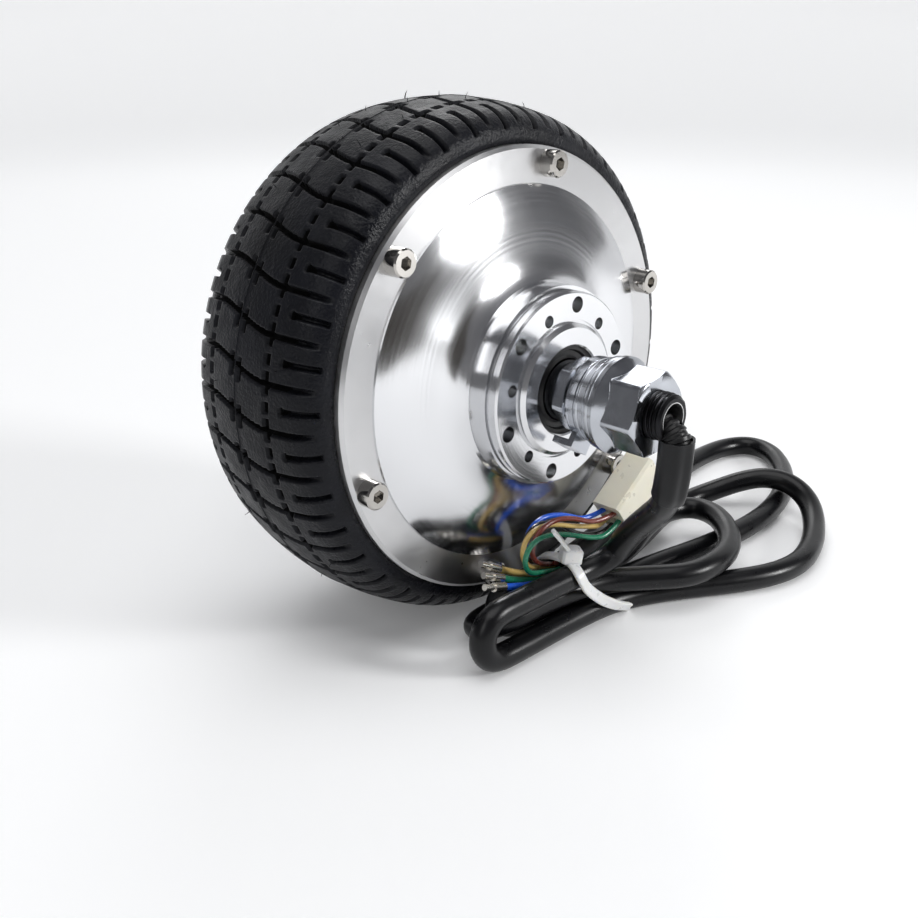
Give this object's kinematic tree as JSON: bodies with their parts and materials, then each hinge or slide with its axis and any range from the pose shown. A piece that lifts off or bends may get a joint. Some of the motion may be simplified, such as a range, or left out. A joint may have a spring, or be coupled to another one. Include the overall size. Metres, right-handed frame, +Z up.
{
  "type": "hub motor wheel",
  "caption": "Solid-tyred wheel with a direct-drive motor inside, polished side covers, a disc mounting boss, a threaded axle and a tied hank of motor cable.",
  "frame": {"origin": "centre of the wheel, on the axle line and on the middle plane of the tyre", "axes": "+Y along the axle towards the plain side, -Y towards the disc boss and the cable, +Z up, +X forward"},
  "size_m": [0.2385, 0.1618, 0.142],
  "materials": {
    "tyre_rubber": "matt moulded",
    "cast_aluminium": "as cast",
    "polished_aluminium": "lathe polished",
    "steel": "ground",
    "magnet": "nickel plated",
    "black_steel": "blackened",
    "lamination_steel": "stamped",
    "enamelled_copper": "enamelled",
    "circuit_board": "solder mask",
    "black_plastic": "matt",
    "black_rubber": "satin",
    "cable_jacket": "gloss",
    "white_nylon": "satin",
    "natural_nylon": "translucent",
    "tinned_metal": "tin plated",
    "stainless_steel": "bright",
    "zinc_plate": "bright zinc plated",
    "wire_blue": "gloss",
    "wire_yellow": "gloss",
    "wire_green": "gloss",
    "wire_red": "gloss",
    "wire_black": "gloss"
  },
  "bodies": {
    "stator": {"axle": "black_steel", "stator_hub": "cast_aluminium", "stator_core": "lamination_steel", "stator_windings": "enamelled_copper", "hall_board": "circuit_board", "hall_sensors": "black_plastic", "strain_relief": "black_rubber", "heat_shrink_sleeve": "black_rubber", "cable_lead": "cable_jacket", "cable_hank": "cable_jacket", "cable_tie": "white_nylon", "phase_terminals": "tinned_metal", "hall_connector": "natural_nylon", "hall_contacts": "tinned_metal", "brake_bearing_inner_race": "steel", "brake_axle_spacer": "zinc_plate", "brake_inner_nut": "zinc_plate", "brake_tab_washer": "zinc_plate", "brake_plain_washer": "zinc_plate", "brake_spring_washer": "zinc_plate", "brake_outer_washer": "zinc_plate", "brake_axle_nut": "zinc_plate", "back_bearing_inner_race": "steel", "back_axle_spacer": "zinc_plate", "back_inner_nut": "zinc_plate", "back_tab_washer": "zinc_plate", "back_plain_washer": "zinc_plate", "back_spring_washer": "zinc_plate", "back_outer_washer": "zinc_plate", "back_axle_nut": "zinc_plate", "hall_wire_blue": "wire_blue", "hall_wire_yellow": "wire_yellow", "hall_wire_green": "wire_green", "hall_wire_red": "wire_red", "hall_wire_black": "wire_black", "phase_wire_yellow": "wire_yellow", "phase_wire_green": "wire_green", "phase_wire_blue": "wire_blue"},
    "wheel": {"tyre": "tyre_rubber", "rim": "cast_aluminium", "brake_cover": "polished_aluminium", "back_cover": "polished_aluminium", "flux_ring": "steel", "magnets": "magnet", "brake_cover_screws": "stainless_steel", "brake_bearing_outer_race": "steel", "brake_shaft_seal": "black_rubber", "back_cover_screws": "stainless_steel", "back_bearing_outer_race": "steel", "back_shaft_seal": "black_rubber"},
    "brake_ball_set": {"brake_bearing_balls": "steel", "brake_bearing_cage": "steel"},
    "back_ball_set": {"back_bearing_balls": "steel", "back_bearing_cage": "steel"}
  },
  "joints": [
    {"name": "wheel_spin", "type": "hinge", "parent": "stator", "child": "wheel", "pos_m": [0, 0, 0], "axis": [0, 1, 0], "continuous": true},
    {"name": "brake_ball_spin", "type": "hinge", "parent": "stator", "child": "brake_ball_set", "pos_m": [0, -0.0365, 0], "axis": [0, 1, 0], "continuous": true},
    {"name": "back_ball_spin", "type": "hinge", "parent": "stator", "child": "back_ball_set", "pos_m": [0, 0.0365, 0], "axis": [0, 1, 0], "continuous": true}
  ],
  "couplings": [
    {"joint": "brake_ball_spin", "follows": "wheel_spin", "ratio": 0.5894},
    {"joint": "back_ball_spin", "follows": "wheel_spin", "ratio": 0.5894}
  ]
}
